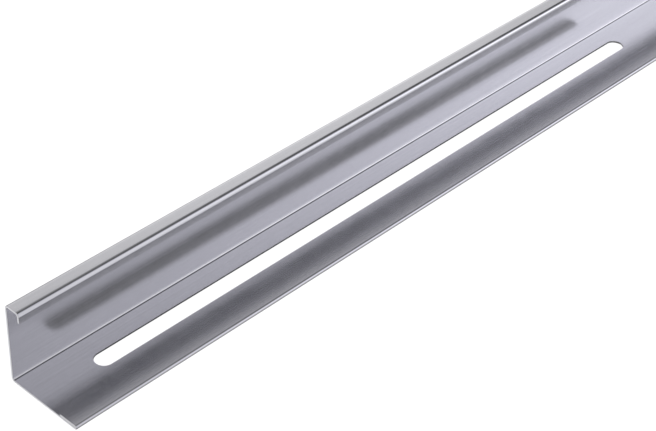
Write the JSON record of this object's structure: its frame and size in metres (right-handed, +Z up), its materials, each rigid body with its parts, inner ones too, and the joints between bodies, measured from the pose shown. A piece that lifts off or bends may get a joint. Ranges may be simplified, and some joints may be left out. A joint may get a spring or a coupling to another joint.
{
  "type": "solar mounting cross rail",
  "caption": "Long open channel rail rolled from thin zinc-coated steel strip, with a lipped top flange, a hemmed wide flange and long round-ended slots for bolts.",
  "frame": {"origin": "centre of the rail's length and width, on the floor under the wide flange", "axes": "+X along the rail, +Y from the open side towards the web, +Z up from the wide flange to the lip"},
  "size_m": [2.1, 0.04, 0.04],
  "materials": {
    "zinc_steel": "bright zinc coating, satin, with faint rolling marks along the rail"
  },
  "bodies": {
    "root": {"cross_rail": "zinc_steel"}
  },
  "joints": []
}
